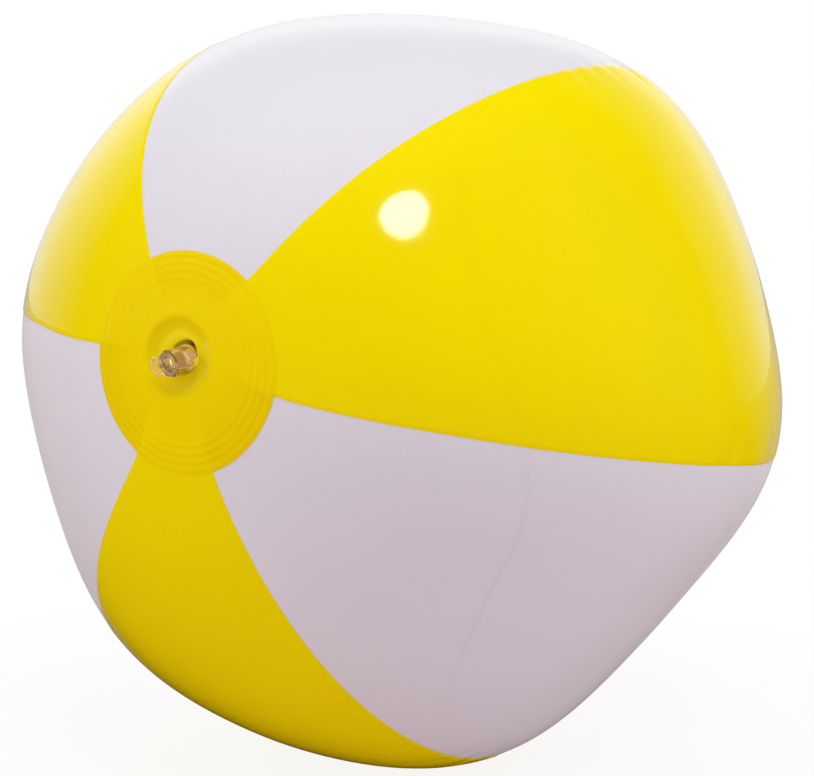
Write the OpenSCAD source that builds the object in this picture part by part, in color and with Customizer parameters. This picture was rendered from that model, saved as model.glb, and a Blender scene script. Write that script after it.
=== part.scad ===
// Inflatable beach ball: six welded film panels, a film disc over each pole and a moulded push-in valve.
// Millimetres, +Z up. The ball stands on the small flat its own weight presses into the base panel,
// with the valve facing -Y. The origin is on that flat, straight below the middle of the ball.

/* [Ball] */
// Radius out to a seam at the widest ring
seam_r = 134; // [120:1:150]
// Radius at the middle of a panel, as a share of the radius at a seam
panel_flat = 0.961; // [0.94:0.001:0.99]
// Half height from pole to pole, as a share of the seam radius
pole_ratio = 0.94; // [0.9:0.01:1]
// Bluntness of a meridian towards the widest ring, 1 for an ellipse
side_power = 0.973; // [0.95:0.001:1]
// Bluntness of a meridian towards the poles, 1 for an ellipse
pole_power = 1.107; // [1.05:0.001:1.15]
// Power at which the cross-section rounds off from six-sided to round towards the poles
round_power = 5; // [4:0.5:7]

/* [Uneven fill] */
// Bulge across one diagonal of the widest ring
diagonal_bulge = 0.016; // [0:0.001:0.025]
// How much fuller the yellow panels stand than the white ones
yellow_fullness = 0.016; // [0:0.001:0.025]
// How far the poles ride up against the widest ring
pole_lift = 0.033; // [0:0.001:0.04]
// Warp of the front half against the back half
warp = -0.035; // [-0.04:0.001:0]
// Sideways offset of the valve pole from the axis
pole_side = 3.5; // [0:0.5:5]
// Upward offset of the valve pole from the axis
pole_rise = 6.6; // [0:0.1:8]
// How much flatter the middle of each panel is than an even fill makes it, from the right panel round by the top
panel_hollow = [1.8, -0.5, -2, 0.6, 0.1, 1.1]; // [-3:0.1:3]
// How far each seam stands out of an even fill, from the right seam round by the top
seam_stand = [0.5, -0.1, -1.2, -0.2, -0.3, -1]; // [-2:0.1:2]
// Turn of the six seams where they run under the valve disc, in degrees, from the right seam round by the top
seam_turn = [-4.4, -3, 1.2, 0, 4.7, -2.7]; // [-5:0.1:5]
// Bow of the six seams in the front half, in degrees, in the same order
seam_bow = [0, 0, 0.4, -2.2, 0, 0]; // [-3:0.1:3]

/* [Resting pose] */
// Angle of the polar axis above level, valve end up
axis_tilt = 5.6; // [2:0.1:10]
// Turn of the ball about its polar axis
spin = -8; // [-12:0.5:12]
// Depth of the flat that the weight presses into the base panel
floor_sag = 1.2; // [0.8:0.1:2]

/* [Film] */
// Thickness of the panel film
film = 0.2; // [0.15:0.05:0.3]
// Overlap of two panels at a welded seam
lap = 5; // [3:0.5:6]
// Gap left between two layers for the weld
weld_gap = 0.04; // [0.03:0.01:0.06]
// Radius at which the panel tips end around a pole
tip_r = 14; // [14:0.5:17]
// Radius of a pole disc
disc_r = 32.4; // [28:0.1:40]
// Thickness of the pole disc film
disc_film = 0.3; // [0.2:0.05:0.4]
// Radius of the hole in the valve disc
disc_hole_r = 10.3; // [10:0.1:10.6]

/* [Valve] */
// Sideways offset of the valve from the middle of its disc
valve_side = 0.9; // [0:0.1:0.9]
// Upward offset of the valve from the middle of its disc
valve_rise = 1.1; // [0:0.1:1.1]
// Side lean of the soft stem, towards -X
stem_side = 11; // [0:1:13]
// Droop of the soft stem below level
stem_droop = 12; // [0:1:13]
// Outer radius of the stem
stem_r = 3.8; // [3.5:0.1:4]
// Radius of the bore that the plug seals
bore_r = 2.35; // [2:0.05:2.5]
// Length of the stem from its foot in the dish to its mouth
stem_out = 9; // [9:0.5:10]
// Length of the stem inside the ball
stem_in = 7; // [5:0.5:9]
// Radius of the collar around the mouth
collar_r = 4.1; // [4:0.05:4.15]
// Depth of the dish that the stem stands in
dish_depth = 4; // [3:0.1:4.5]
// Outer radius of the dish's weld ring
dish_r = 12; // [11.6:0.1:12.1]
// Thickness of the dish
dish_wall = 0.5; // [0.4:0.05:0.6]
// Length of the plug's shank
plug_len = 6; // [4:0.5:7]
// Radius of the plug's head
head_r = 3.5; // [3:0.1:3.6]
// Reach of the plug's finger tab from the middle of its head
tab_reach = 8.5; // [6.5:0.1:8.5]
// Width of the finger tab
tab_w = 6; // [5:0.5:6.5]
// Turn of the finger tab about the stem, downwards from -X
tab_turn = 12; // [0:1:25]
// Width of the strap that keeps the plug
strap_w = 2.4; // [1.8:0.1:3]
// Thickness of the strap
strap_t = 0.8; // [0.6:0.1:0.8]

/* [Hidden] */
$fn = 64;

yellow = [0.93, 0.83, 0.02];
white = [0.9, 0.88, 0.91];
clear = [0.84, 0.82, 0.78, 0.5];

// Layers of film, as distances outside the white panels' outer face
yellow_low = weld_gap;
yellow_top = yellow_low + film;
disc_low = yellow_top + 3 * weld_gap;
disc_top = disc_low + disc_film;

// Grid of a panel: rows between the discs, rows under a disc, columns between the laps
panel_grid = [24, 4, 8];
base_grid = [48, 4, 16];
disc_cols = 48;

panel_angle = 60;
half_panel = panel_angle / 2;
degrees = 180 / PI;

// Ease of the rise from a panel's middle to its seam, and how close to its pole an offset stays
seam_ease = 1.15;
offset_power = 10;

// Latitude at which a meridian is this far from the axis
function latitude(r) = acos(pow(r / seam_r, 1 / side_power));
tip_lat = latitude(tip_r);
disc_lat = latitude(disc_r);

// Share of the way from a panel's middle to its seam, eased so that both join smoothly
function seam_share(f) = let (u = abs(f - panel_angle * floor(f / panel_angle) - half_panel) / half_panel)
    pow(sin(90 * pow(u, seam_ease)), 2);

// 0 before start, 1 after end and smooth between them
function eased(x, start, end) = let (u = min(max((x - start) / (end - start), 0), 1)) u * u * (3 - 2 * u);

// Latitudes over which a seam's turn grows towards the disc and fades out under it, and over which its bow lasts
turn_grow = [45, 75];
turn_fade = [77, 84];
turn_power = 2.5;
bow_grow = [10, 45];
bow_fade = [57, 76];

// How far the film at latitude t and longitude f is carried round by the turn and bow of the seams beside it
function seam_wander(t, f) =
    let (
        turn_share = pow(min(max((t - turn_grow[0]) / (turn_grow[1] - turn_grow[0]), 0), 1), turn_power)
            * (1 - eased(t, turn_fade[0], turn_fade[1])),
        bow_share = eased(t, bow_grow[0], bow_grow[1]) * (1 - eased(t, bow_fade[0], bow_fade[1])),
        wander = seam_turn * turn_share + seam_bow * bow_share,
        before = floor(f / panel_angle),
        seams = len(wander),
        share = f / panel_angle - before
    )
    wander[(before + seams) % seams] * (1 - share) + wander[(before + 1 + seams) % seams] * share;

// How far the widest ring stands out of an even fill at longitude f
function ring_fill(f) =
    let (
        panels = len(panel_hollow),
        seam = round(f / panel_angle),
        panel = floor(f / panel_angle),
        share = seam_share(f)
    )
    seam_stand[(seam + panels) % panels] * share - panel_hollow[(panel + panels) % panels] * (1 - share);

// Point of the ball at latitude t and longitude f, polar axis along +Z, seams near multiples of 60 degrees
function ball_point(t, f) =
    let (
        round_f = f + seam_wander(t, f),
        unrounded = 1 - pow(abs(sin(t)), round_power),
        six_sided = (1 - panel_flat) * unrounded,
        wide = seam_r * (1 - six_sided * (1 - seam_share(f))) + unrounded * ring_fill(f),
        r = wide * pow(cos(t), side_power),
        z = seam_r * pole_ratio * sign(t) * pow(abs(sin(t)), pole_power),
        p = [r * cos(round_f), r * sin(round_f), z],
        n = p / norm(p),
        fill = 1 + diagonal_bulge * 2 * n.x * n.y
            + yellow_fullness * (3 * n.x * n.x * n.y - pow(n.y, 3))
            + pole_lift * n.y * (5 * n.z * n.z - 1) / 2
            + warp * 2 * n.x * n.y * n.z
    )
    fill * p + pow(max(sin(t), 0), offset_power) * [pole_side, pole_rise, 0];

// The ball turned into its resting pose, still centred on the origin
function turned(p) =
    let (
        x = p.x * cos(spin) - p.y * sin(spin),
        y = p.x * sin(spin) + p.y * cos(spin)
    )
    [x, y * sin(axis_tilt) - p.z * cos(axis_tilt), y * cos(axis_tilt) + p.z * sin(axis_tilt)];

lowest = min([for (t = [-20:1:20]) for (f = [250:1:310]) turned(ball_point(t, f)).z]);
centre_z = yellow_top - lowest - floor_sag;

// Point of a film face that stands d outside the white panels, pressed flat where it meets the floor
function film_point(t, f, d) =
    let (
        p = ball_point(t, f),
        w = turned(p * (1 + d / norm(p))) + [0, 0, centre_z]
    )
    [w.x, w.y, max(w.z, yellow_top - d)];

// Values from start to end in equal steps
function steps(start, end, count) = [for (i = [0:count]) start + (end - start) * i / count];

// Closed sheet between an outer and an inner grid of points, rows towards a pole, columns round it.
// A ring joins its last column to its first. An outer and an inner apex close the hole in a ring.
module sheet(outer, inner, ring = false, apex = []) {
    rows = len(outer);
    cols = len(outer[0]);
    end = rows - 1;
    side = cols - 1;
    last = ring ? side : side - 1;
    peak = 2 * rows * cols;
    function o(i, j) = i * cols + j % cols;
    function n(i, j) = rows * cols + o(i, j);
    faces = concat(
        [for (i = [0:end - 1]) for (j = [0:last]) each [
            [o(i, j), o(i + 1, j), o(i + 1, j + 1)],
            [o(i, j), o(i + 1, j + 1), o(i, j + 1)],
            [n(i, j), n(i + 1, j + 1), n(i + 1, j)],
            [n(i, j), n(i, j + 1), n(i + 1, j + 1)]
        ]],
        [for (j = [0:last]) each [
            [o(0, j), o(0, j + 1), n(0, j + 1)],
            [o(0, j), n(0, j + 1), n(0, j)]
        ]],
        [for (j = [0:last]) each len(apex) > 0 ? [
            [o(end, j), peak, o(end, j + 1)],
            [n(end, j), n(end, j + 1), peak + 1]
        ] : [
            [o(end, j + 1), o(end, j), n(end, j)],
            [o(end, j + 1), n(end, j), n(end, j + 1)]
        ]],
        ring ? [] : [for (i = [0:end - 1]) each [
            [o(i + 1, 0), o(i, 0), n(i, 0)],
            [o(i + 1, 0), n(i, 0), n(i + 1, 0)],
            [o(i, side), o(i + 1, side), n(i + 1, side)],
            [o(i, side), n(i + 1, side), n(i, side)]
        ]]
    );
    polyhedron(concat([for (row = outer) each row], [for (row = inner) each row], apex), faces);
}

// Rows of a panel: close together under the pole discs, even between them
function panel_rows(grid) = concat(
    steps(-tip_lat, -disc_lat, grid[1]),
    [for (t = steps(-disc_lat, disc_lat, grid[0])) if (abs(t) < disc_lat - 0.01) t],
    steps(disc_lat, tip_lat, grid[1])
);

// Longitudes across a panel at latitude t: one column of weld lap at each edge, even between them
function panel_cols(middle, t, reach_in, reach_out, grid) =
    let (
        per_mm = degrees / (seam_r * pow(cos(t), side_power)),
        inner = half_panel - reach_in * per_mm,
        outer = half_panel + reach_out * per_mm
    )
    [for (f = concat([-outer], steps(-inner, inner, grid[2]), [outer])) middle + f];

// One gore panel, from tip to tip
module panel(middle, low, top, reach_in, reach_out, grid) {
    function face(d) = [for (t = panel_rows(grid))
        [for (f = panel_cols(middle, t, reach_in, reach_out, grid)) film_point(t, f, d)]];
    sheet(face(top), face(low));
}

// A yellow panel lies over its white neighbours and ends on the seam line
module yellow_panel(middle, grid = panel_grid)
    color(yellow) panel(middle, yellow_low, yellow_top, lap, 0, grid);

// A white panel runs on past the seam line, under the yellow panels
module white_panel(middle)
    color(white) panel(middle, -film, 0, 0, lap, panel_grid);

module yellow_panel_right() yellow_panel(30);
module white_panel_top() white_panel(90);
module yellow_panel_left() yellow_panel(150);
module white_panel_left() white_panel(210);
module white_panel_right() white_panel(330);

// The panel that the ball rests on has a finer grid, so that its floor flat is a true plane
module yellow_panel_base() yellow_panel(270, base_grid);

// One face of a pole disc, from its rim in to radius r; pole is 1 at the valve and -1 at the back
function disc_face(pole, r, d) = [for (t = concat(steps(disc_lat, tip_lat, panel_grid[1]), [latitude(r)]))
    [for (j = [0:disc_cols - 1]) film_point(pole * t, pole * j * 360 / disc_cols, d)]];

// Film disc over the panel tips at the front, with a hole for the valve
module valve_disc()
    color(yellow) sheet(disc_face(1, disc_hole_r, disc_top), disc_face(1, disc_hole_r, disc_low), ring = true);

// Plain film disc over the panel tips at the back
module back_disc()
    color(yellow) sheet(disc_face(-1, tip_r / 2, disc_top), disc_face(-1, tip_r / 2, disc_low), ring = true,
        apex = [film_point(-90, 0, disc_top), film_point(-90, 0, disc_low)]);

// Middle of the valve on the film, and the direction that the film faces there
valve_middle = film_point(90, 0, 0) + [valve_side, 0, valve_rise];
pole_normal = let (
    near = latitude(disc_hole_r),
    across = film_point(near, 0, 0) - film_point(near, 180, 0),
    along = film_point(near, 90, 0) - film_point(near, 270, 0),
    n = cross(across, along)
) n / norm(n);

// The dish's weld ring lies under the disc, and the stem's axis starts in the middle of the dish's hole
ring_top = -0.5;
dish_hole_r = stem_r + 0.85;
cone_r = disc_hole_r - 0.4;
stem_foot = valve_middle + (ring_top - dish_depth) * pole_normal;
stem_turn = [90 + stem_droop, 0, -stem_side];

// Frame on the middle of the valve with +Z out of the ball
module at_pole() translate(valve_middle)
    rotate([0, acos(pole_normal.z), atan2(pole_normal.y, pole_normal.x)]) children();

// Frame on the stem's foot with +Z along the stem, out of the ball, and +Y upwards
module at_stem() translate(stem_foot) rotate(stem_turn) children();

// Soft moulded dish: a flat ring welded under the disc, and a cone down to the stem's foot
module valve_dish() color(yellow) at_pole() rotate_extrude() polygon([
    [dish_r, ring_top],
    [cone_r, ring_top],
    [dish_hole_r, ring_top - dish_depth],
    [dish_hole_r, ring_top - dish_depth - dish_wall],
    [cone_r + dish_wall / 2, ring_top - dish_wall],
    [dish_r, ring_top - dish_wall]
]);

// Stem: a tube open from end to end, with a collar round its mouth and a lug for the strap
collar_len = 1.2;
lug_x = stem_r + 0.1;
lug_z = 1.8;
module valve_stem() color(clear) at_stem() difference() {
    union() {
        translate([0, 0, -stem_in]) cylinder(r = stem_r, h = stem_in + stem_out);
        translate([0, 0, stem_out - collar_len]) cylinder(r = collar_r, h = collar_len);
        translate([0, -strap_w / 2, lug_z - strap_t]) cube([lug_x, strap_w, 2 * strap_t]);
    }
    translate([0, 0, -stem_in - 1]) cylinder(r = bore_r, h = stem_in + stem_out + 2);
}

// Check flap: a thin film disc that lies against the stem's inner end and hinges on a bead at the top
flap_r = 3.1;
flap_t = 0.4;
flap_gap = 0.05;
bead_r = 0.45;
bead_len = 3;
bead_y = flap_r + bead_r / 2;
bead_z = -stem_in - flap_gap - bead_r;
module check_flap() color(clear) at_stem() {
    translate([0, 0, -stem_in - flap_gap - flap_t]) cylinder(r = flap_r, h = flap_t);
    translate([-bead_len / 2, bead_y, bead_z]) rotate([0, 90, 0]) cylinder(r = bead_r, h = bead_len);
}

// Plug: a shank with a blunt tip that seals the bore, a flat head on the mouth and a round-ended finger tab
plug_clear = 0.05;
head_t = 1;
head_edge = 0.3;
tip_len = 1;
shank_r = bore_r - plug_clear;
module plug() color(clear) at_stem() translate([0, 0, stem_out + plug_clear]) {
    rotate_extrude() polygon([
        [0, head_t],
        [head_r - head_edge, head_t],
        [head_r, head_t - head_edge],
        [head_r, 0],
        [shank_r, 0],
        [shank_r, tip_len - plug_len],
        [shank_r - tip_len / 2, -plug_len],
        [0, -plug_len]
    ]);
    rotate([0, 0, 180 + tab_turn]) linear_extrude(head_t - head_edge) {
        translate([0, -tab_w / 2]) square([tab_reach - tab_w / 2, tab_w]);
        translate([tab_reach - tab_w / 2, 0]) circle(d = tab_w);
    }
}

// Strap: a flat band that bows out from the stem's lug to just short of the rim of the plug's head
bow_r = 3.9;
bow_x = stem_r - 0.6;
bow_z = lug_z + sqrt(pow(bow_r, 2) - pow(lug_x - bow_x, 2));
module strap() color(clear) at_stem() rotate([90, 0, 0]) translate([bow_x, bow_z, -strap_w / 2])
    linear_extrude(strap_w) intersection() {
        difference() {
            circle(r = bow_r + strap_t / 2);
            circle(r = bow_r - strap_t / 2);
        }
        translate([lug_x - bow_x, -2 * bow_r]) square(4 * bow_r);
    }

yellow_panel_right();
white_panel_top();
yellow_panel_left();
white_panel_left();
yellow_panel_base();
white_panel_right();
valve_disc();
back_disc();
valve_dish();
valve_stem();
check_flap();
plug();
strap();
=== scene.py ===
import math

import bpy
import numpy as np
from mathutils import Matrix, Vector


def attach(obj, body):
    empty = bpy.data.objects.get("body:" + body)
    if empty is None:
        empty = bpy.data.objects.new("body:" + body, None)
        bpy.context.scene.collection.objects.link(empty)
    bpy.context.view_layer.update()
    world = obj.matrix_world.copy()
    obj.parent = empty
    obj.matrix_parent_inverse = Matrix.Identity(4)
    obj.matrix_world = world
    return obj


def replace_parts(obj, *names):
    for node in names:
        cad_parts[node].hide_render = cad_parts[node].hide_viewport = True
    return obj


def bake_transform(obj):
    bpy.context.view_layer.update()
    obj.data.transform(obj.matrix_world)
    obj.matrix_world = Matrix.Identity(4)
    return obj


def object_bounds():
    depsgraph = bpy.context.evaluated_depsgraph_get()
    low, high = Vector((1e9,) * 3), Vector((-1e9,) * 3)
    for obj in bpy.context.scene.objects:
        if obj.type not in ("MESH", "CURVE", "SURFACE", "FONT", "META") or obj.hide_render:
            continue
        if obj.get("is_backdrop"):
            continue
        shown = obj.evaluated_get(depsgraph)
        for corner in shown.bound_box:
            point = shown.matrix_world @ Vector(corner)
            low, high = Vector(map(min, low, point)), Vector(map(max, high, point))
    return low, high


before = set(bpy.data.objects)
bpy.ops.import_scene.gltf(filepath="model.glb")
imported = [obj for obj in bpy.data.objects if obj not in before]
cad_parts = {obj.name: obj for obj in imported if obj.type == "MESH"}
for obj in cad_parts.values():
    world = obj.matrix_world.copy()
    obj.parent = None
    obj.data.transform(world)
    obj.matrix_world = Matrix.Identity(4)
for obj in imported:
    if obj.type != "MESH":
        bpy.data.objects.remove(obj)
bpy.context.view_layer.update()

scene = bpy.context.scene
scene.view_settings.view_transform = "Standard"

# The view: a camera a little above the ball and well to the right of its valve, near enough to the ball
# for some perspective. It looks slightly down, past the middle of the ball, with no roll and no shift.
ball_middle = Vector((0, 0, 0.13126))
azimuth, elevation = math.radians(31.06), math.radians(6.93)
to_right = Vector((math.cos(azimuth), math.sin(azimuth), 0))
to_back = Vector((math.sin(azimuth) * math.cos(elevation),
                  -math.cos(azimuth) * math.cos(elevation),
                  math.sin(elevation)))
to_top = to_back.cross(to_right)
camera_right, camera_drop, camera_away = 0.00433, 0.00309, 0.6096
camera = bpy.data.objects.new("camera", bpy.data.cameras.new("camera"))
camera.data.sensor_width = 36
camera.data.lens = 77.2
camera.data.clip_start = 0.01
camera.location = ball_middle + camera_right * to_right - camera_drop * to_top + camera_away * to_back
camera.rotation_mode = "QUATERNION"
camera.rotation_quaternion = Matrix((to_right, to_top, to_back)).transposed().to_quaternion()
scene.collection.objects.link(camera)
scene.camera = camera


# The studio floor: a wide matt table top with a pale backdrop behind the ball. Its rosy light reaches the
# underside of the ball. The film mirrors it dark in front and pale behind, and the camera sees it washed
# out to white.
def link_nodes(tree, *pairs):
    for out_socket, in_socket in pairs:
        tree.links.new(out_socket, in_socket)


def new_material(name):
    material = bpy.data.materials.new(name)
    material.use_nodes = True
    tree = material.node_tree
    tree.nodes.clear()
    return material, tree, tree.nodes.new("ShaderNodeOutputMaterial")


away_from_camera = (-0.478, 0.878, 0)


def floor_material():
    material, tree, output = new_material("studio_floor")
    ray = tree.nodes.new("ShaderNodeLightPath")
    place = tree.nodes.new("ShaderNodeTexCoord")
    bearing = tree.nodes.new("ShaderNodeVectorMath")
    bearing.operation = "NORMALIZE"
    behind = tree.nodes.new("ShaderNodeVectorMath")
    behind.operation = "DOT_PRODUCT"
    behind.inputs[1].default_value = away_from_camera
    sweep = tree.nodes.new("ShaderNodeMapRange")
    sweep.inputs["From Min"].default_value = 0.3
    sweep.inputs["From Max"].default_value = 0.9
    mirrored = tree.nodes.new("ShaderNodeMix")
    mirrored.data_type = "RGBA"
    mirrored.inputs["A"].default_value = (0.09, 0.055, 0.004, 1)
    mirrored.inputs["B"].default_value = (0.45, 0.43, 0.43, 1)
    finish = tree.nodes.new("ShaderNodeMix")
    finish.data_type = "RGBA"
    finish.inputs["A"].default_value = (0.4, 0.31, 0.33, 1)
    table = tree.nodes.new("ShaderNodeBsdfDiffuse")
    underlight = tree.nodes.new("ShaderNodeEmission")
    underlight.inputs["Color"].default_value = (1, 0.89, 0.94, 1)
    rise = tree.nodes.new("ShaderNodeMapRange")
    rise.inputs["From Min"].default_value = -0.3
    rise.inputs["From Max"].default_value = 1.0
    rise.inputs["To Min"].default_value = 0.44
    rise.inputs["To Max"].default_value = 1.1
    strength = tree.nodes.new("ShaderNodeMath")
    strength.operation = "MULTIPLY"
    lit_table = tree.nodes.new("ShaderNodeAddShader")
    paper = tree.nodes.new("ShaderNodeBsdfDiffuse")
    paper.inputs["Color"].default_value = (0.8, 0.8, 0.8, 1)
    glow = tree.nodes.new("ShaderNodeEmission")
    away = tree.nodes.new("ShaderNodeVectorMath")
    away.operation = "LENGTH"
    fade = tree.nodes.new("ShaderNodeMapRange")
    fade.interpolation_type = "SMOOTHSTEP"
    fade.inputs["From Min"].default_value = 0.1
    fade.inputs["From Max"].default_value = 0.32
    fade.inputs["To Min"].default_value = 0.88
    fade.inputs["To Max"].default_value = 1.0
    washed = tree.nodes.new("ShaderNodeMixShader")
    straight = tree.nodes.new("ShaderNodeMath")
    straight.operation = "MAXIMUM"
    seen = tree.nodes.new("ShaderNodeMixShader")
    link_nodes(
        tree,
        (place.outputs["Object"], bearing.inputs[0]),
        (bearing.outputs["Vector"], behind.inputs[0]),
        (behind.outputs["Value"], sweep.inputs["Value"]),
        (sweep.outputs["Result"], mirrored.inputs["Factor"]),
        (mirrored.outputs["Result"], finish.inputs["B"]),
        (ray.outputs["Is Glossy Ray"], finish.inputs["Factor"]),
        (finish.outputs["Result"], table.inputs["Color"]),
        (behind.outputs["Value"], rise.inputs["Value"]),
        (rise.outputs["Result"], strength.inputs[1]),
        (ray.outputs["Is Diffuse Ray"], strength.inputs[0]),
        (strength.outputs["Value"], underlight.inputs["Strength"]),
        (table.outputs["BSDF"], lit_table.inputs[0]),
        (underlight.outputs["Emission"], lit_table.inputs[1]),
        (place.outputs["Object"], away.inputs[0]),
        (away.outputs["Value"], fade.inputs["Value"]),
        (fade.outputs["Result"], washed.inputs["Fac"]),
        (paper.outputs["BSDF"], washed.inputs[1]),
        (glow.outputs["Emission"], washed.inputs[2]),
        (ray.outputs["Is Camera Ray"], straight.inputs[0]),
        (ray.outputs["Is Transmission Ray"], straight.inputs[1]),
        (straight.outputs["Value"], seen.inputs["Fac"]),
        (lit_table.outputs["Shader"], seen.inputs[1]),
        (washed.outputs["Shader"], seen.inputs[2]),
        (seen.outputs["Shader"], output.inputs["Surface"]),
    )
    return material


floor_reach, floor_gap = 12.0, 0.0002
floor_corners = [(-floor_reach, -floor_reach, 0), (floor_reach, -floor_reach, 0),
                 (floor_reach, floor_reach, 0), (-floor_reach, floor_reach, 0)]
floor_mesh = bpy.data.meshes.new("studio_floor")
floor_mesh.from_pydata(floor_corners, [], [(0, 1, 2, 3)])
floor_mesh.materials.append(floor_material())
floor = bpy.data.objects.new("studio_floor", floor_mesh)
floor.location.z = -floor_gap
scene.collection.objects.link(floor)
floor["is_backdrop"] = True


# The room: soft boxes to both sides of the ball and above it, little light from behind it and hardly any
# from the camera's side. The glossy film mirrors a bright backdrop towards its outline, and the camera sees
# plain white.
room = bpy.data.worlds.new("room")
scene.world = room
room.use_nodes = True
tree = room.node_tree
tree.nodes.clear()
place = tree.nodes.new("ShaderNodeTexCoord")


def room_level(direction, start, end, low, high):
    """Level of light that runs from low to high along a direction of the room."""
    along = tree.nodes.new("ShaderNodeVectorMath")
    along.operation = "DOT_PRODUCT"
    along.inputs[1].default_value = direction
    level = tree.nodes.new("ShaderNodeMapRange")
    level.inputs["From Min"].default_value = start
    level.inputs["From Max"].default_value = end
    level.inputs["To Min"].default_value = low
    level.inputs["To Max"].default_value = high
    link_nodes(
        tree,
        (place.outputs["Generated"], along.inputs[0]),
        (along.outputs["Value"], level.inputs["Value"]),
    )
    return level.outputs["Result"]


soft_boxes = room_level((-0.562, 0.822, -0.091), -0.83, 1, 0.03, 6.0)
far_side = room_level((-0.516, 0.857, 0), -0.01, 0.14, 1, 0.15)
backdrop = room_level(away_from_camera, 0.28, 0.82, 0.005, 1.1)
upwards = (0, 0, 1)
wall = room_level(upwards, 0, 0.35, 0.74, 0.94)
ceiling = room_level(upwards, 0.45, 0.85, 1, 0)
ray = tree.nodes.new("ShaderNodeLightPath")
soft_light = tree.nodes.new("ShaderNodeMath")
soft_light.operation = "MULTIPLY"
lit_wall = tree.nodes.new("ShaderNodeMath")
lit_wall.operation = "MULTIPLY"
behind = tree.nodes.new("ShaderNodeMath")
behind.operation = "MULTIPLY"
mirrored = tree.nodes.new("ShaderNodeMix")
straight = tree.nodes.new("ShaderNodeMath")
straight.operation = "MAXIMUM"
level = tree.nodes.new("ShaderNodeMix")
level.inputs["B"].default_value = 1.0
light = tree.nodes.new("ShaderNodeBackground")
light.inputs["Color"].default_value = (1, 1, 1, 1)
output = tree.nodes.new("ShaderNodeOutputWorld")
link_nodes(
    tree,
    (soft_boxes, soft_light.inputs[0]),
    (far_side, soft_light.inputs[1]),
    (backdrop, lit_wall.inputs[0]),
    (wall, lit_wall.inputs[1]),
    (lit_wall.outputs["Value"], behind.inputs[0]),
    (ceiling, behind.inputs[1]),
    (ray.outputs["Is Glossy Ray"], mirrored.inputs["Factor"]),
    (soft_light.outputs["Value"], mirrored.inputs["A"]),
    (behind.outputs["Value"], mirrored.inputs["B"]),
    (ray.outputs["Is Camera Ray"], straight.inputs[0]),
    (ray.outputs["Is Transmission Ray"], straight.inputs[1]),
    (straight.outputs["Value"], level.inputs["Factor"]),
    (mirrored.outputs["Result"], level.inputs["A"]),
    (level.outputs["Result"], light.inputs["Strength"]),
    (light.outputs["Background"], output.inputs["Surface"]),
)


# The lamp: one round diffuser high in front of the ball and to its right. It makes the round glint on the
# right yellow panel and the shadow on the table behind the ball.
lamp = bpy.data.objects.new("round_lamp", bpy.data.lights.new("round_lamp", "AREA"))
lamp.data.shape = "DISK"
lamp.data.size = 0.3
lamp.data.energy = 3.95
lamp.data.color = (1.0, 0.985, 0.96)
glint = Vector((0.0617, -0.0963, 0.1914))
glint_to_lamp, lamp_away = Vector((0.478, -0.4765, 0.738)), 1.2
lamp.location = glint + lamp_away * glint_to_lamp
lamp.rotation_mode = "QUATERNION"
lamp.rotation_quaternion = (glint - lamp.location).to_track_quat("-Z", "Y")
scene.collection.objects.link(lamp)


# Light that comes through the thin film: a weak lamp in the middle of the ball stands in for it. It shows
# only where the clear valve lets one see in.
glow = bpy.data.objects.new("light_through_film", bpy.data.lights.new("light_through_film", "POINT"))
glow.data.energy = 0.2
glow.data.shadow_soft_size = 0.04
glow.location = ball_middle
scene.collection.objects.link(glow)


# The panels: six gores of thin vinyl film, three yellow and three white, welded edge over edge from tip to
# tip. Blown up, their middles stay flatter than their seams, and the seams pucker round the widest ring.
seam_r, panel_flat, pole_ratio = 134.0, 0.961, 0.94
side_power, pole_power, round_power = 0.973, 1.107, 5
diagonal_bulge, yellow_fullness, pole_lift, warp = 0.016, 0.016, 0.033, -0.035
pole_offset = np.array((3.5, 6.6, 0.0))
panel_hollow = np.array((1.8, -0.5, -2, 0.6, 0.1, 1.1))
seam_stand = np.array((0.5, -0.1, -1.2, -0.2, -0.3, -1))
seam_turn = np.radians((-4.4, -3, 1.2, 0, 4.7, -2.7))
seam_bow = np.radians((0, 0, 0.4, -2.2, 0, 0))
turn_grow, turn_fade, turn_power = np.radians((45, 75)), np.radians((77, 84)), 2.5
bow_grow, bow_fade = np.radians((10, 45)), np.radians((57, 76))
axis_tilt, spin = math.radians(5.6), math.radians(-8)
film, weld_gap, lap, floor_sag = 0.2, 0.04, 5.0, 1.2
yellow_top = weld_gap + film
tip_r = 14.0
panel_angle = math.radians(60)
crease_power, offset_power = 1.15, 10


def latitude(r):
    """Latitude at which a meridian is this far from the axis."""
    return np.arccos((np.asarray(r) / seam_r) ** (1 / side_power))


def eased(x, start, end):
    """0 before start, 1 after end and smooth between them."""
    share = np.clip((np.asarray(x) - start) / (end - start), 0, 1)
    return share * share * (3 - 2 * share)


def seam_wander(t, f):
    """How far round the film is carried by the turn of its seams near the valve and by their bow."""
    grown = np.clip((t - turn_grow[0]) / (turn_grow[1] - turn_grow[0]), 0, 1) ** turn_power
    turn = grown * (1 - eased(t, *turn_fade))
    bow = eased(t, *bow_grow) * (1 - eased(t, *bow_fade))
    before = np.floor(f / panel_angle).astype(int)
    share = f / panel_angle - before
    here, there = before % 6, (before + 1) % 6
    return (turn * (seam_turn[here] * (1 - share) + seam_turn[there] * share)
            + bow * (seam_bow[here] * (1 - share) + seam_bow[there] * share))


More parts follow.
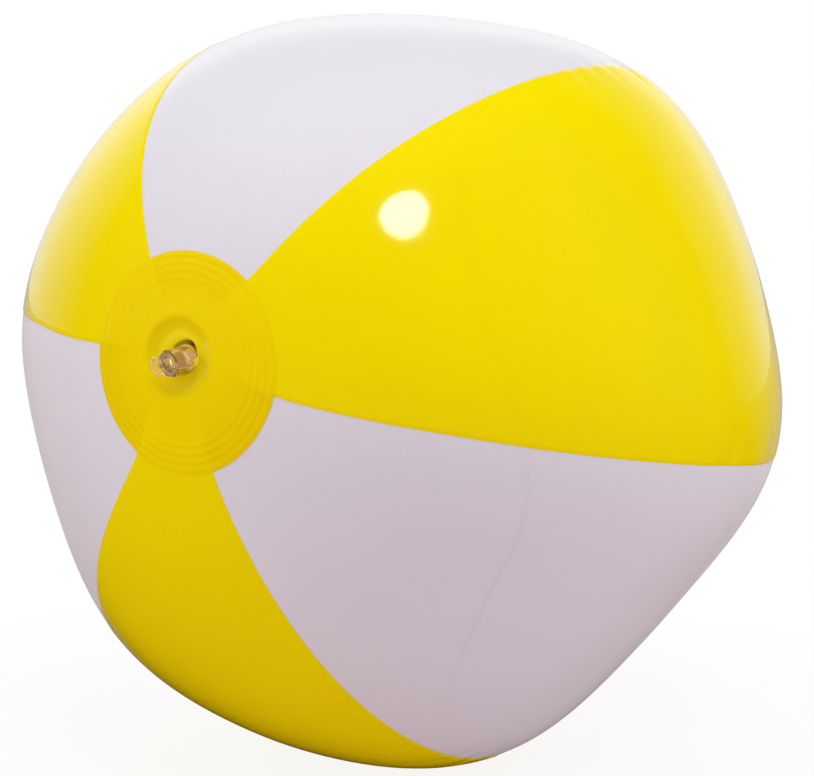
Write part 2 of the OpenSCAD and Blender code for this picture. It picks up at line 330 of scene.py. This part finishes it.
def ball_point(t, f):
    """Point of the ball at latitude t and longitude f, in millimetres, with the polar axis along +Z."""
    across = np.abs(np.mod(f, panel_angle) - panel_angle / 2) / (panel_angle / 2)
    seam_share = np.sin(np.pi / 2 * across ** crease_power) ** 2
    seam = np.round(f / panel_angle).astype(int) % 6
    panel = np.floor(f / panel_angle).astype(int) % 6
    ring_fill = seam_stand[seam] * seam_share - panel_hollow[panel] * (1 - seam_share)
    unrounded = 1 - np.abs(np.sin(t)) ** round_power
    six_sided = (1 - panel_flat) * unrounded
    wide = seam_r * (1 - six_sided * (1 - seam_share)) + unrounded * ring_fill
    r = wide * np.maximum(np.cos(t), 0) ** side_power
    z = seam_r * pole_ratio * np.sign(t) * np.abs(np.sin(t)) ** pole_power
    round_f = f + seam_wander(t, f)
    p = np.stack((r * np.cos(round_f), r * np.sin(round_f), z), -1)
    x, y, z = np.moveaxis(p / np.linalg.norm(p, axis=-1, keepdims=True), -1, 0)
    fill = (1 + diagonal_bulge * 2 * x * y + yellow_fullness * (3 * x * x * y - y ** 3)
            + pole_lift * y * (5 * z * z - 1) / 2 + warp * 2 * x * y * z)
    at_pole = np.maximum(np.sin(t), 0) ** offset_power
    return fill[..., None] * p + at_pole[..., None] * pole_offset


def turned(p):
    """The ball turned into its resting pose, valve towards -Y."""
    x = p[..., 0] * math.cos(spin) - p[..., 1] * math.sin(spin)
    y = p[..., 0] * math.sin(spin) + p[..., 1] * math.cos(spin)
    z = p[..., 2]
    depth = y * math.sin(axis_tilt) - z * math.cos(axis_tilt)
    height = y * math.cos(axis_tilt) + z * math.sin(axis_tilt)
    return np.stack((x, depth, height), -1)


underside = np.meshgrid(np.radians(np.arange(-20, 21)), np.radians(np.arange(250, 311)))
centre_z = yellow_top - turned(ball_point(*underside))[..., 2].min() - floor_sag

# Puckers across each seam: where along it (latitude), how wide, how deep, how far they run to either side
# and how they lean. They are deepest a little behind the widest ring.
pucker_count, first_pucker, pucker_pitch = 18, -42, 4.6
pucker_middle, pucker_spread = math.radians(-3), math.radians(20)
pucker_draw = np.random.RandomState(7)
puckers = [
    [(math.radians(first_pucker + pucker_pitch * j + pucker_draw.uniform(-2, 2)),
      math.radians(pucker_draw.uniform(0.6, 1.2)),
      pucker_draw.uniform(0.1, 0.7),
      pucker_draw.uniform(4, 15),
      pucker_draw.uniform(4, 15),
      math.radians(pucker_draw.uniform(-0.15, 0.15)))
     for j in range(pucker_count)]
    for seam in range(6)
]


def pucker_depth(t, f):
    """How far the film is drawn in at a seam's puckers, in millimetres."""
    depth = np.zeros(np.broadcast(t, f).shape)
    wide = seam_r * np.cos(t)
    for seam in range(6):
        off = np.mod(f - seam * panel_angle + math.pi, 2 * math.pi) - math.pi
        s = off * wide
        for at, width, deep, reach_back, reach_on, lean in puckers[seam]:
            middle = math.exp(-((at - pucker_middle) / pucker_spread) ** 2)
            line = np.exp(-((t - at - lean * s) / width) ** 2)
            depth += deep * middle * line * np.exp(-(s / np.where(s < 0, reach_back, reach_on)) ** 2)
    return depth


def film_point(t, f, d):
    """Point of a film face d outside the white panels, in millimetres, pressed flat on the floor."""
    t, f = np.broadcast_arrays(t, f)
    p = ball_point(t, f)
    out = 1 + (d - pucker_depth(t, f)) / np.linalg.norm(p, axis=-1)
    w = turned(p * out[..., None])
    w[..., 2] = np.maximum(w[..., 2] + centre_z, yellow_top - d)
    return w


def smooth_piece(name, points, faces):
    mesh = bpy.data.meshes.new(name)
    mesh.from_pydata(np.asarray(points).tolist(), [], faces)
    mesh.shade_smooth()
    mesh.set_sharp_from_angle(angle=math.radians(40))
    mesh.validate()
    piece = bpy.data.objects.new(name, mesh)
    scene.collection.objects.link(piece)
    return piece


def wrapped(ids):
    """A grid of point numbers whose last column is followed by its first."""
    return np.concatenate((ids, ids[:, :1]), 1)


def grid_quads(ids):
    """Four-sided faces between the rows and columns of a grid of point numbers."""
    return np.stack((ids[:-1, :-1], ids[:-1, 1:], ids[1:, 1:], ids[1:, :-1]), -1).reshape(-1, 4)


def film_sheet(name, outer, inner, ring=False, capped=False):
    """Closed sheet of film between an outer and an inner grid of points, each rows by columns.
    A ring joins its last column to its first, and a capped one has its middle filled."""
    rows, cols = outer.shape[:2]
    points = np.concatenate((outer.reshape(-1, 3), inner.reshape(-1, 3))) / 1000
    out = np.arange(rows * cols).reshape(rows, cols)
    if ring:
        out = wrapped(out)
    back = out + rows * cols
    skin = grid_quads(out)
    lining = (skin + rows * cols)[:, ::-1]
    start = np.stack((out[0, 1:], out[0, :-1], back[0, :-1], back[0, 1:]), -1)
    faces = np.concatenate((skin, lining, start)).tolist()
    if capped:
        faces += [out[-1, :-1].tolist(), back[-1, -2::-1].tolist()]
    else:
        faces += np.stack((out[-1, :-1], out[-1, 1:], back[-1, 1:], back[-1, :-1]), -1).tolist()
    if not ring:
        faces += np.stack((out[:-1, 0], out[1:, 0], back[1:, 0], back[:-1, 0]), -1).tolist()
        faces += np.stack((out[1:, -1], out[:-1, -1], back[:-1, -1], back[1:, -1]), -1).tolist()
    return smooth_piece(name, points, faces)


def film_group():
    """Mottle, haze and ripple of vinyl, shared by the film and the clear mouldings."""
    group = bpy.data.node_groups.new("vinyl_film", "ShaderNodeTree")
    inputs = (
        ("Thin", "NodeSocketColor", (1, 1, 1, 1)),
        ("Thick", "NodeSocketColor", (1, 1, 1, 1)),
        ("Gloss", "NodeSocketFloat", 0.03),
        ("Haze", "NodeSocketFloat", 0.03),
        ("Ripple", "NodeSocketFloat", 130),
    )
    outputs = (
        ("Color", "NodeSocketColor"),
        ("Roughness", "NodeSocketFloat"),
        ("Height", "NodeSocketFloat"),
    )
    for name, kind, value in inputs:
        group.interface.new_socket(name, in_out="INPUT", socket_type=kind).default_value = value
    for name, kind in outputs:
        group.interface.new_socket(name, in_out="OUTPUT", socket_type=kind)
    given = group.nodes.new("NodeGroupInput")
    result = group.nodes.new("NodeGroupOutput")
    place = group.nodes.new("ShaderNodeTexCoord")
    cloud = group.nodes.new("ShaderNodeTexNoise")
    cloud.inputs["Scale"].default_value = 22
    cloud.inputs["Detail"].default_value = 4
    gauge = group.nodes.new("ShaderNodeMapRange")
    gauge.inputs["From Min"].default_value = 0.3
    gauge.inputs["From Max"].default_value = 0.7
    tint = group.nodes.new("ShaderNodeMix")
    tint.data_type = "RGBA"
    smear = group.nodes.new("ShaderNodeTexNoise")
    smear.inputs["Scale"].default_value = 60
    smear.inputs["Detail"].default_value = 5
    smear.inputs["Distortion"].default_value = 0.6
    haze = group.nodes.new("ShaderNodeMath")
    haze.operation = "MULTIPLY_ADD"
    ripple = group.nodes.new("ShaderNodeTexNoise")
    ripple.inputs["Detail"].default_value = 2
    link_nodes(
        group,
        (place.outputs["Object"], cloud.inputs["Vector"]),
        (place.outputs["Object"], smear.inputs["Vector"]),
        (place.outputs["Object"], ripple.inputs["Vector"]),
        (given.outputs["Ripple"], ripple.inputs["Scale"]),
        (cloud.outputs["Fac"], gauge.inputs["Value"]),
        (gauge.outputs["Result"], tint.inputs["Factor"]),
        (given.outputs["Thin"], tint.inputs["A"]),
        (given.outputs["Thick"], tint.inputs["B"]),
        (tint.outputs["Result"], result.inputs["Color"]),
        (smear.outputs["Fac"], haze.inputs[0]),
        (given.outputs["Haze"], haze.inputs[1]),
        (given.outputs["Gloss"], haze.inputs[2]),
        (haze.outputs["Value"], result.inputs["Roughness"]),
        (ripple.outputs["Fac"], result.inputs["Height"]),
    )
    return group


vinyl_film = film_group()


def film_material(name, thin, thick, gloss=0.055, shine=0.5, glow=0.0, mark=None, marked=None):
    """Glossy film whose colour runs from thin to thick with its gauge, and to another where it is marked.
    Glow is the light that comes through it at the outline of the ball."""
    material, tree, output = new_material(name)
    shader = tree.nodes.new("ShaderNodeBsdfPrincipled")
    shader.inputs["Specular IOR Level"].default_value = shine
    shader.inputs["Sheen Weight"].default_value = glow
    shader.inputs["Sheen Roughness"].default_value = 0.5
    surface = tree.nodes.new("ShaderNodeGroup")
    surface.node_tree = vinyl_film
    surface.inputs["Thin"].default_value = thin
    surface.inputs["Thick"].default_value = thick
    surface.inputs["Gloss"].default_value = gloss
    colour = surface.outputs["Color"]
    if mark:
        where = tree.nodes.new("ShaderNodeAttribute")
        where.attribute_name = mark
        shade = tree.nodes.new("ShaderNodeMix")
        shade.data_type = "RGBA"
        shade.inputs["B"].default_value = marked
        link_nodes(tree, (where.outputs["Fac"], shade.inputs["Factor"]), (colour, shade.inputs["A"]))
        colour = shade.outputs["Result"]
    bump = tree.nodes.new("ShaderNodeBump")
    bump.inputs["Strength"].default_value = 0.02
    bump.inputs["Distance"].default_value = 0.001
    link_nodes(
        tree,
        (colour, shader.inputs["Base Color"]),
        (surface.outputs["Roughness"], shader.inputs["Roughness"]),
        (surface.outputs["Height"], bump.inputs["Height"]),
        (bump.outputs["Normal"], shader.inputs["Normal"]),
        (shader.outputs["BSDF"], output.inputs["Surface"]),
    )
    return material


def mark_film(piece, name, values):
    """Note on a sheet's points, outer and inner face alike, where its film is marked."""
    marks = piece.data.attributes.new(name, "FLOAT", "POINT")
    marks.data.foreach_set("value", np.tile(np.ravel(values), 2).astype(np.float32))


yellow_film = film_material("yellow_film", (0.945, 0.775, 0.0003, 1), (0.925, 0.755, 0.0003, 1))
white_film = film_material("white_film", (0.76, 0.745, 0.805, 1), (0.745, 0.73, 0.79, 1), glow=0.55)

row_pitch, edge_pitch, middle_pitch, edge_zone = 1.6, 1.2, 4.0, 24.0
pressed_edge, pressed_share = 0.9, 0.15
weld_columns, first_column = (0, 0.3, 0.6, 0.9), 1.8


def panel_piece(name, middle, low, top, reach):
    """One gore from tip to tip, its edges reach past the seam lines, with finer columns near them.
    The weld presses the outermost strip of an edge thin."""
    tip = latitude(tip_r)
    t = np.linspace(-tip, tip, int(2 * tip * seam_r / row_pitch))
    half = panel_angle / 2 * seam_r
    fine = np.concatenate((weld_columns, np.arange(first_column, edge_zone, edge_pitch)))
    wide = np.linspace(half - fine[-1], 0, int((half - fine[-1]) / middle_pitch) + 1)[1:]
    share = np.concatenate((half - fine, wide)) / half
    share = np.concatenate((-share, share[-2::-1]))
    edge = panel_angle / 2 + reach / (seam_r * np.cos(t) ** side_power)
    f = middle + edge[:, None] * share[None, :]
    t = t[:, None] + 0 * f
    from_edge = edge[:, None] * (1 - np.abs(share)) * seam_r * np.cos(t) ** side_power
    pressed = low + (top - low) * (pressed_share + (1 - pressed_share) * eased(from_edge, 0, pressed_edge))
    return film_sheet(name, film_point(t, f, pressed), film_point(t, f, low))


for name, at in (("yellow_panel_right", 30), ("white_panel_top", 90), ("yellow_panel_left", 150),
                 ("white_panel_left", 210), ("yellow_panel_base", 270), ("white_panel_right", 330)):
    yellow = name.startswith("yellow")
    low, top, reach = (weld_gap, yellow_top, 0) if yellow else (-film, 0, lap)
    panel = panel_piece(name + "_film", math.radians(at), low, top, reach)
    panel.data.materials.append(yellow_film if yellow else white_film)
    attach(panel, "ball")
    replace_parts(panel, name)


# The discs: round patches of thicker yellow film, welded over the panel tips at both poles with a die that
# leaves fine rings. The front one has a hole for the valve, and its film rolls in there.
disc_r, disc_film, disc_lift, disc_hole_r = 32.4, 0.3, 0.03, 10.3
ring_pitch, first_ring, last_ring, ring_height = 2.3, 23.05, 32.25, 0.13
hole_side, hole_rise = -0.6, 0.7
hole_across = hole_side * math.cos(spin) + hole_rise * math.sin(spin)
hole_along = hole_rise * math.cos(spin) - hole_side * math.sin(spin)
hole_draw_r, roll_r, roll_depth, roll_power = 18, 13, 0.14, 1.5
edge_film, edge_taper, hole_taper = 0.05, 6, 1.5
fine_end, coarse_start, coarse_end, middle_start = 22.6, 22.4, 14, 13.6
fine_pitch, coarse_pitch, cap_r, cap_pitch = 0.2, 0.8, 0.6, 1.2
white_sink, white_from, white_full = 0.2, 13, 26

# The film looks a little darker where a white panel tip lies under it.
yellow_disc = film_material("yellow_disc", (0.94, 0.735, 0.0003, 1), (0.92, 0.715, 0.0003, 1),
                            mark="over_white", marked=(0.895, 0.675, 0.0003, 1))


def pole_disc(name, pole, hole):
    """Disc over the panel tips at the front pole, 1, or the back one, -1, with a hole or closed."""
    end_r, end_pitch = (hole, fine_pitch) if hole else (cap_r, cap_pitch)
    ringed = np.arange(disc_r, fine_end, -fine_pitch)
    plain = np.arange(coarse_start, coarse_end, -coarse_pitch)
    middle = np.arange(middle_start, end_r, -end_pitch)
    r = np.concatenate((ringed, plain, middle, (end_r,)))
    f = pole * np.linspace(0, 2 * math.pi, 192, endpoint=False)
    r, f = np.meshgrid(r, f, indexing="ij")
    low = np.full(r.shape, yellow_top + disc_lift)
    x, y = r * np.cos(f), r * np.sin(f)
    if hole:
        drawn = eased(-r, -hole_draw_r, -hole)
        x, y = x + hole_across * drawn, y + hole_along * drawn
        low -= roll_depth * np.maximum(roll_r - r, 0) ** roll_power
    flat_r, f = np.hypot(x, y), np.arctan2(y, x)
    into_white = (panel_angle / 2 - np.abs(np.mod(f, 2 * panel_angle) - 1.5 * panel_angle)) * flat_r
    over_white = eased(into_white, -1, 1) * eased(flat_r, white_from, white_full)
    low -= white_sink * over_white
    at_hole = eased(r, hole or -1, (hole or 0) + hole_taper)
    thick = edge_film + (disc_film - edge_film) * eased(disc_r - r, 0, edge_taper) * at_hole
    in_rings = (r > first_ring) & (r < last_ring)
    thick += ring_height * in_rings * (1 - np.cos(2 * math.pi * (r - first_ring) / ring_pitch)) / 2
    t = pole * latitude(flat_r)
    outer, inner = film_point(t, f, low + thick), film_point(t, f, low)
    disc = film_sheet(name, outer, inner, ring=True, capped=not hole)
    mark_film(disc, "over_white", over_white)
    disc.data.materials.append(yellow_disc)
    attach(disc, "ball")
    return disc


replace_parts(pole_disc("valve_disc_film", 1, disc_hole_r), "valve_disc")
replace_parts(pole_disc("back_disc_film", -1, None), "back_disc")


# The dish: the soft yellow skirt of the moulded valve, welded under the disc. It folds into a round groove
# and a low rim around the stem's foot. In the ball it goes in and out with the stem when the valve is
# pushed;
# this mesh stays where it is drawn.
ring_depth, dish_depth, dish_wall = 0.5, 4.0, 0.45
valve_side, valve_rise = 0.9, 1.1
hole_lat = latitude(disc_hole_r)
pole = film_point(math.pi / 2, 0.0, 0.0)
valve_middle = pole + np.array((valve_side, 0, valve_rise))
groove_middle = pole + np.array((hole_side, 0, hole_rise))
out_of_ball = np.cross(film_point(hole_lat, 0.0, 0.0) - film_point(hole_lat, math.pi, 0.0),
                       film_point(hole_lat, math.pi / 2, 0.0) - film_point(hole_lat, -math.pi / 2, 0.0))
out_of_ball /= np.linalg.norm(out_of_ball)
along_film = np.cross((0, 0, 1), out_of_ball)
along_film /= np.linalg.norm(along_film)
up_film = np.cross(out_of_ball, along_film)
stem_foot = valve_middle - (ring_depth + dish_depth) * out_of_ball
stem_side, stem_droop = math.radians(11), math.radians(12)
stem_x = np.array((math.cos(stem_side), -math.sin(stem_side), 0))
stem_z = np.array((-math.sin(stem_side) * math.cos(stem_droop),
                   -math.cos(stem_side) * math.cos(stem_droop),
                   -math.sin(stem_droop)))
stem_y = np.cross(stem_z, stem_x)
stem_lean = stem_z / (stem_z @ out_of_ball) - out_of_ball
crevice = 0.3 * along_film + 0.2 * up_film
pinch, pinch_turn, pinch_wide = 1.0, math.radians(58), math.radians(34)
rim_r, crevice_r, pinch_r = 3.85, 4.5, 4.4
lean_start_r, lean_end_r, pinch_start_r, pinch_end_r = 7.5, 4.6, 6.8, 4.7
# Radii between which the rim's inner edge gets painted shade, for the shadow in the gap by the stem.
shade_start_r, shade_end_r = 4.85, 4.4
fold_wall, thin_r, full_r, dish_pitch = 0.06, 9.3, 8.6, 0.12


def smooth_line(corners, pitch):
    """Points about a pitch apart on a smooth line through these corners."""
    corners = np.array(corners, float)
    before = np.vstack((2 * corners[0] - corners[1], corners[:-1]))
    after = np.vstack((corners[1:], 2 * corners[-1] - corners[-2]))
    slope = (after - before) / 2
    line = []
    for i in range(len(corners) - 1):
        count = max(2, int(np.linalg.norm(corners[i + 1] - corners[i]) / pitch))
        u = np.linspace(0, 1, count, endpoint=False)[:, None]
        line.append((2 * u ** 3 - 3 * u ** 2 + 1) * corners[i] + (u ** 3 - 2 * u ** 2 + u) * slope[i]
                    + (3 * u ** 2 - 2 * u ** 3) * corners[i + 1] + (u ** 3 - u ** 2) * slope[i + 1])
    return np.vstack(line + [corners[-1:]])


# Radius and height of the dish from the flange, through the groove and over the rim, to the stem.
dish_corners = (
    (11.8, -0.6), (11.3, -0.62), (10.8, -0.66), (10.3, -0.73), (9.8, -0.88),
    (9.3, -1.07), (8.8, -1.25), (8.3, -1.36), (7.8, -1.4), (7.35, -1.36),
    (6.9, -1.26), (6.4, -1.15), (5.9, -1.08), (5.4, -1.06), (5.05, -1.1),
    (4.75, -1.26), (4.55, -1.62), (4.35, -2.0), (4.1, -2.2), (rim_r, -2.25),
)
dish_line = smooth_line(dish_corners, dish_pitch)
dish_run = np.gradient(dish_line, axis=0)
dish_out = np.stack((dish_run[:, 1], -dish_run[:, 0]), -1) / np.linalg.norm(dish_run, axis=1, keepdims=True)

# The wall thins towards the fold and the flange, so that both faces of the flange stay with the ball.
dish_thick = fold_wall + (dish_wall - fold_wall) * eased(-dish_line[:, :1], -thin_r, -full_r)
dish_turn = np.linspace(0, 2 * math.pi, 96, endpoint=False)
off_pinch = np.mod(dish_turn - pinch_turn + math.pi, 2 * math.pi) - math.pi
pinched = np.exp(-(off_pinch / pinch_wide) ** 2)


def dish_face(line):
    """One face of the dish, turned about the groove's middle, with its rim drawn to the leaning stem.
    The rim stands off the stem at its upper right."""
    r, out = line[:, :1], line[:, 1:]
    leaning = (out + ring_depth + dish_depth) * stem_lean
    at_stem = valve_middle + leaning + eased(r, rim_r, crevice_r) * crevice
    drawn = eased(-r, -lean_start_r, -lean_end_r)
    middle = groove_middle + drawn * (at_stem - groove_middle) + out * out_of_ball
    r = r + pinch * eased(-r, -pinch_start_r, -pinch_end_r) * eased(r, rim_r, pinch_r) * pinched
    across = (r * np.cos(dish_turn))[..., None] * along_film
    up = (r * np.sin(dish_turn))[..., None] * up_film
    return middle[:, None] + across + up


dish_inside = dish_face(dish_line - dish_thick * dish_out)
dish = film_sheet("valve_dish_moulding", dish_face(dish_line), dish_inside, ring=True)
# Painted shade: the rim's inner edge is coloured dark brown at its upper right, where it stands off the
# stem, for the shadow in that gap.
mark_film(dish, "painted_crevice_shade", eased(-dish_line[:, :1], -shade_start_r, -shade_end_r) * pinched)
yellow_moulding = film_material("yellow_moulding", (0.945, 0.755, 0.0003, 1), (0.925, 0.725, 0.0003, 1),
                                gloss=0.12, shine=0.25, mark="painted_crevice_shade", marked=(0.16, 0.07, 0.004, 1))
dish.data.materials.append(yellow_moulding)
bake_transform(dish)
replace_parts(dish, "valve_dish")


# The stem: a soft clear PVC tube through the dish, moulded with a collar round its mouth and a lug on its
# side for the strap. Its bore takes the plug.
stem_r, bore_r, stem_out, stem_in = 3.8, 2.35, 9.0, 7.0
collar_r, collar_len, collar_slope, lug_z, strap_w, strap_t = 4.1, 1.2, 0.2, 1.8, 2.4, 0.8


def on_stem(p):
    """Points of the stem's own frame, +Z along it and +Y up, in metres."""
    p = np.asarray(p, float)
    return (stem_foot + p[..., :1] * stem_x + p[..., 1:2] * stem_y + p[..., 2:] * stem_z) / 1000


def rounded(corners, radius, loop=False):
    """Profile whose corners are eased by a radius."""
    corners = np.array(corners, float)
    line = []
    for i, corner in enumerate(corners):
        if not loop and i in (0, len(corners) - 1):
            line.append(corner)
            continue
        back, on = corners[i - 1] - corner, corners[(i + 1) % len(corners)] - corner
        reach = min(radius, 0.45 * np.linalg.norm(back), 0.45 * np.linalg.norm(on))
        start = corner + back / np.linalg.norm(back) * reach
        end = corner + on / np.linalg.norm(on) * reach
        for u in np.linspace(0, 1, 6):
            line.append((1 - u) ** 2 * start + 2 * u * (1 - u) * corner + u ** 2 * end)
    return np.array(line)


def turned_piece(name, profile, place, columns=72, loop=False):
    """Piece turned about its axis from a closed loop of radius and height, or a line from axis to axis."""
    turn = np.linspace(0, 2 * math.pi, columns, endpoint=False)
    body = profile if loop else profile[1:-1]
    rings = np.stack((body[:, :1] * np.cos(turn), body[:, :1] * np.sin(turn), body[:, 1:] + 0 * turn), -1)
    ids = np.arange(rings.shape[0] * columns).reshape(-1, columns)
    ids = wrapped(ids)
    if loop:
        ids = np.concatenate((ids, ids[:1]), 0)
    points = rings.reshape(-1, 3)
    faces = grid_quads(ids).tolist()
    if not loop:
        low, high = len(points), len(points) + 1
        points = np.concatenate((points, ((0, 0, profile[0][1]), (0, 0, profile[-1][1]))))
        faces += [[ids[0, j + 1], ids[0, j], low] for j in range(columns)]
        faces += [[ids[-1, j], ids[-1, j + 1], high] for j in range(columns)]
    return smooth_piece(name, place(points), faces)


def fuse(piece, extra):
    """Join a second closed shape into a piece, as one moulding."""
    join = piece.modifiers.new("fuse", "BOOLEAN")
    join.operation = "UNION"
    join.object = extra
    whole = bpy.data.meshes.new_from_object(piece.evaluated_get(bpy.context.evaluated_depsgraph_get()))
    whole.name = piece.name
    piece.modifiers.clear()
    piece.data = whole
    bpy.data.objects.remove(extra)
    whole.shade_smooth()
    whole.set_sharp_from_angle(angle=math.radians(32))


def swept_bar(name, line, across, width, thick, corner):
    """Bar with rounded edges along a line in the stem's frame, its width along one direction across it."""
    line = np.array(line, float)
    run = np.gradient(line, axis=0)
    run /= np.linalg.norm(run, axis=1, keepdims=True)
    side = np.cross(np.array(across, float), run)
    width, thick = np.broadcast_to(width, len(line)), np.broadcast_to(thick, len(line))
    shape = rounded(((-1, -1), (1, -1), (1, 1), (-1, 1)), corner, loop=True) / 2
    rings = (line[:, None] + (width[:, None] * shape[None, :, 0])[..., None] * np.array(across, float)
             + (thick[:, None] * shape[None, :, 1])[..., None] * side[:, None])
    count = len(shape)
    ids = np.arange(len(line) * count).reshape(-1, count)
    faces = grid_quads(wrapped(ids)).tolist()
    faces += [ids[0, ::-1].tolist(), ids[-1].tolist()]
    return smooth_piece(name, on_stem(rings.reshape(-1, 3)), faces)


def clear_material():
    """Clear soft PVC with a faint warm tint, a little uneven and hazy."""
    material, tree, output = new_material("clear_pvc")
    shader = tree.nodes.new("ShaderNodeBsdfPrincipled")
    shader.inputs["Transmission Weight"].default_value = 0.93
    shader.inputs["IOR"].default_value = 1.45
    surface = tree.nodes.new("ShaderNodeGroup")
    surface.node_tree = vinyl_film
    surface.inputs["Thin"].default_value = (0.96, 0.83, 0.62, 1)
    surface.inputs["Thick"].default_value = (0.94, 0.78, 0.55, 1)
    surface.inputs["Gloss"].default_value = 0.03
    surface.inputs["Haze"].default_value = 0.06
    surface.inputs["Ripple"].default_value = 700
    bump = tree.nodes.new("ShaderNodeBump")
    bump.inputs["Strength"].default_value = 0.25
    bump.inputs["Distance"].default_value = 0.0004
    link_nodes(
        tree,
        (surface.outputs["Color"], shader.inputs["Base Color"]),
        (surface.outputs["Roughness"], shader.inputs["Roughness"]),
        (surface.outputs["Height"], bump.inputs["Height"]),
        (bump.outputs["Normal"], shader.inputs["Normal"]),
        (shader.outputs["BSDF"], output.inputs["Surface"]),
    )
    return material


clear_pvc = clear_material()
collar_z = stem_out - collar_len
stem_corners = ((bore_r, -stem_in), (stem_r, -stem_in), (stem_r, collar_z - collar_slope),
                (collar_r, collar_z), (collar_r, stem_out), (bore_r, stem_out))
stem = turned_piece("valve_stem_moulding", rounded(stem_corners, radius=0.4, loop=True), on_stem, loop=True)
lug_line = ((3.0, 0, lug_z), (3.5, 0, lug_z), (3.9, 0, lug_z))
fuse(stem, swept_bar("lug", lug_line, (0, 1, 0), strap_w, 2 * strap_t, corner=0.5))
stem.data.materials.clear()
stem.data.materials.append(clear_pvc)
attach(stem, "valve")
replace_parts(stem, "valve_stem")


# The check flap: a small round flap of the same clear PVC behind the stem's inner end, hinged on a bead at
# the top. It swings inwards while air is blown in and falls shut on the bore.
flap_r, flap_t, flap_gap, bead_r, bead_len = 3.1, 0.4, 0.05, 0.45, 3.0
flap_top = -stem_in - flap_gap
flap_low, flap_edge = flap_top - flap_t, 0.15
flap_corners = ((0, flap_low), (flap_r, flap_low), (flap_r, flap_top), (0, flap_top))
flap = turned_piece("check_flap_film", rounded(flap_corners, flap_edge), on_stem)
bead_middle = np.array((0, flap_r + bead_r / 2, flap_top - bead_r))
bead_end = bead_len / 2
bead_profile = rounded(((0, -bead_end), (bead_r, -bead_end), (bead_r, bead_end), (0, bead_end)), flap_edge)
fuse(flap, turned_piece("bead", bead_profile, lambda p: on_stem(p[:, (2, 0, 1)] + bead_middle), columns=24))
flap.data.materials.clear()
flap.data.materials.append(clear_pvc)
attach(flap, "flap")
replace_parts(flap, "check_flap")


# The plug: a clear moulding with a tapered shank that seals the bore, a dished head on the mouth and a thin
# finger tab with a thick rounded rim.
plug_clear, plug_len, head_r, head_t, tip_len = 0.05, 6.0, 3.5, 1.0, 1.0
shank_r, head_z = bore_r - plug_clear, stem_out + plug_clear
dent_top_r, dent_r, dent_z = 2.95, 2.6, 0.35 * head_t
tab_root, tab_reach, tab_w, tab_t, web_t, tab_turn = 2.4, 8.5, 6.0, 0.7, 0.3, math.radians(12)
rim_half = 0.45
plug_corners = ((0, -plug_len), (shank_r - tip_len / 2, -plug_len), (shank_r, tip_len - plug_len),
                (shank_r, 0), (head_r, 0), (head_r, head_t),
                (dent_top_r, head_t), (dent_r, dent_z), (0, dent_z))
plug = turned_piece("plug_moulding", rounded(plug_corners, radius=0.35) + (0, head_z), on_stem)


def finger_tab(name):
    """Flat round tab at the edge of the head: a thin web inside a thick rounded rim."""
    half = tab_w / 2
    turn = np.linspace(0, 2 * math.pi, 64, endpoint=False)
    core = np.where(np.cos(turn) > 0, tab_reach - half, tab_root + half)
    inset = np.array((0, 0.05, 0.15, 0.3, 0.45, 0.6, 0.75, 0.9, 1.05, 1.3, 1.8, 2.4, 2.9))
    rim = np.sqrt(np.clip(1 - ((inset - rim_half) / rim_half) ** 2, 0, 1))
    high = web_t / 2 * eased(inset, 0, 0.3) + (tab_t - web_t) / 2 * rim
    x = core + (half - inset)[:, None] * np.cos(turn)
    y = (half - inset)[:, None] * np.sin(turn)
    z = high[:, None] + 0 * x
    top = np.stack((x, y, z), -1)
    under = np.stack((x, y, -z), -1)[1:]
    points = np.concatenate((top.reshape(-1, 3), under.reshape(-1, 3)))
    count = len(turn)
    up = np.arange(top.shape[0] * count).reshape(-1, count)
    down = np.concatenate((up[:1], up[1:] + (top.shape[0] - 1) * count))
    faces = []
    for ids, flip in ((up, 1), (down, -1)):
        faces += grid_quads(wrapped(ids))[:, ::flip].tolist() + [ids[-1, ::flip].tolist()]
    c, s = math.cos(math.pi + tab_turn), math.sin(math.pi + tab_turn)
    points = points @ np.array(((c, s, 0), (-s, c, 0), (0, 0, 1))) + (0, 0, head_z + tab_t / 2)
    return smooth_piece(name, on_stem(points), faces)


fuse(plug, finger_tab("tab"))
plug.data.materials.clear()
plug.data.materials.append(clear_pvc)
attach(plug, "plug")
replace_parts(plug, "plug")


# The strap: a soft clear band that keeps the plug on the stem. It springs from the lug, bows out at the
# side and ends at the rim of the plug's head.
bow_r, bow_x, bow_end, root_start = 3.9, stem_r - 0.6, 84, 55
waist, root_swell = 0.15, 0.5
bow_z = lug_z + math.sqrt(bow_r ** 2 - (stem_r + 0.1 - bow_x) ** 2)
bow = np.radians(np.linspace(-bow_end, bow_end, 33))
strap_line = np.stack((bow_x + bow_r * np.cos(bow), 0 * bow, bow_z + bow_r * np.sin(bow)), -1)
root = eased(np.abs(bow), math.radians(root_start), math.radians(bow_end))
band_w, band_t = strap_w * (1 - waist * (1 - root)), strap_t * (1 + root_swell * root)
strap = swept_bar("strap_band", strap_line, (0, 1, 0), band_w, band_t, corner=0.7)
strap.data.materials.append(clear_pvc)
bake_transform(strap)
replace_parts(strap, "strap")


low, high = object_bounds()
